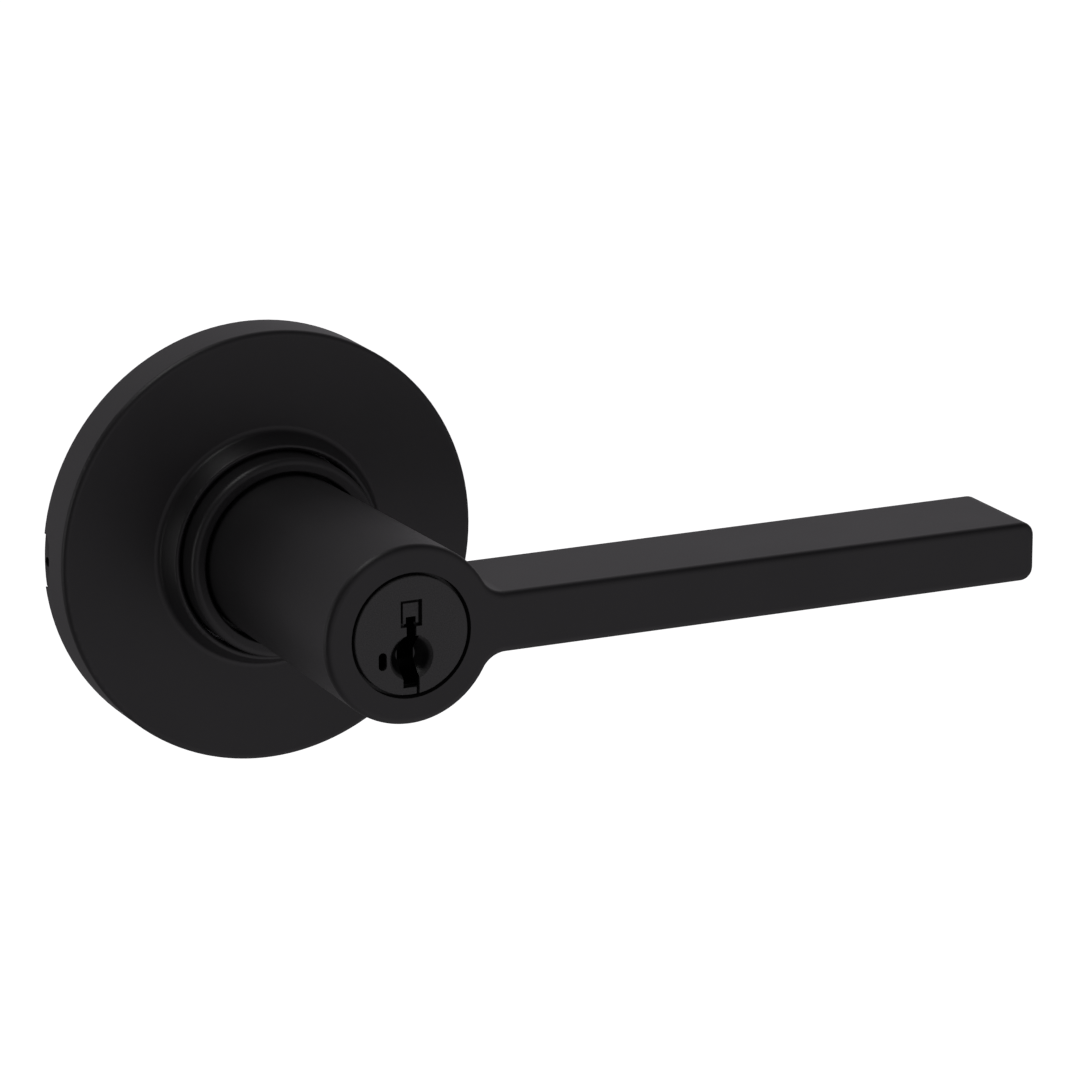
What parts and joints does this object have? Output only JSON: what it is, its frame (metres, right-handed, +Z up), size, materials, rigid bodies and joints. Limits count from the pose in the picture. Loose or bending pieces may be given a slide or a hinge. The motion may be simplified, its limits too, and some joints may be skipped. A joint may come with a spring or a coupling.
{
  "type": "lever handle lockset",
  "caption": "Keyed lever handle for a door: a round rose with a collar, a square-section lever on a round neck and a key cylinder in the hub.",
  "frame": {"origin": "on the lever axis at the plane where the rose meets the face of the door", "axes": "+Y into the door along the spindle, +X along the lever arm, +Z up"},
  "size_m": [0.1532, 0.1172, 0.075],
  "materials": {
    "black_finish": "matte black satin coating on cast zinc or steel",
    "black_face": "matte black coating on brass",
    "zinc_steel": "zinc plated",
    "dark_steel": "blackened",
    "spring_steel": "bare spring steel",
    "cast_zinc": "bare die casting",
    "bush_plastic": "natural acetal",
    "cylinder_brass": "machined"
  },
  "bodies": {
    "chassis": {"rose_cover": "black_finish", "mounting_plate": "dark_steel", "mounting_posts": "zinc_steel", "spring_cage": "cast_zinc", "cage_screws": "zinc_steel", "rose_clips": "spring_steel", "collar_ring": "black_finish", "collar_bush": "bush_plastic", "return_spring": "spring_steel"},
    "lever": {"lever_handle": "black_finish", "drive_tube": "zinc_steel", "spring_driver": "zinc_steel", "thrust_washer": "zinc_steel", "back_washer": "zinc_steel", "retaining_ring": "spring_steel", "spindle": "zinc_steel", "catch_bracket": "spring_steel", "catch_spring": "spring_steel", "cylinder_shell": "cylinder_brass", "cylinder_pin": "spring_steel"},
    "catch": {"lever_catch": "zinc_steel"},
    "plug": {"plug_face": "black_face", "face_insert": "black_face", "plug_body": "cylinder_brass", "tumbler_1": "cylinder_brass", "tumbler_2": "cylinder_brass", "tumbler_3": "cylinder_brass", "tumbler_4": "cylinder_brass", "tumbler_5": "cylinder_brass", "tumbler_spring_1": "spring_steel", "tumbler_spring_2": "spring_steel", "tumbler_spring_3": "spring_steel", "tumbler_spring_4": "spring_steel", "tumbler_spring_5": "spring_steel", "sidebar": "cylinder_brass", "sidebar_springs": "spring_steel", "plug_clip": "spring_steel", "tailpiece": "zinc_steel", "tailpiece_pin": "spring_steel"}
  },
  "joints": [
    {"name": "lever_turn", "type": "hinge", "parent": "chassis", "child": "lever", "pos_m": [0, 0, 0], "axis": [0, 1, 0], "range_deg": [-50, 50], "stiffness_Nm_per_rad": 1.2, "springref_deg": -5.16, "deforming": ["return_spring"]},
    {"name": "plug_turn", "type": "hinge", "parent": "lever", "child": "plug", "pos_m": [0, -0.05, 0], "axis": [0, 1, 0], "range_deg": [-90, 90]},
    {"name": "catch_push", "type": "slide", "parent": "lever", "child": "catch", "axis": [0, 0, 1], "range_m": [0, 0.0025], "stiffness_N_per_m": 800, "springref_m": -0.001, "deforming": ["catch_spring"]}
  ]
}
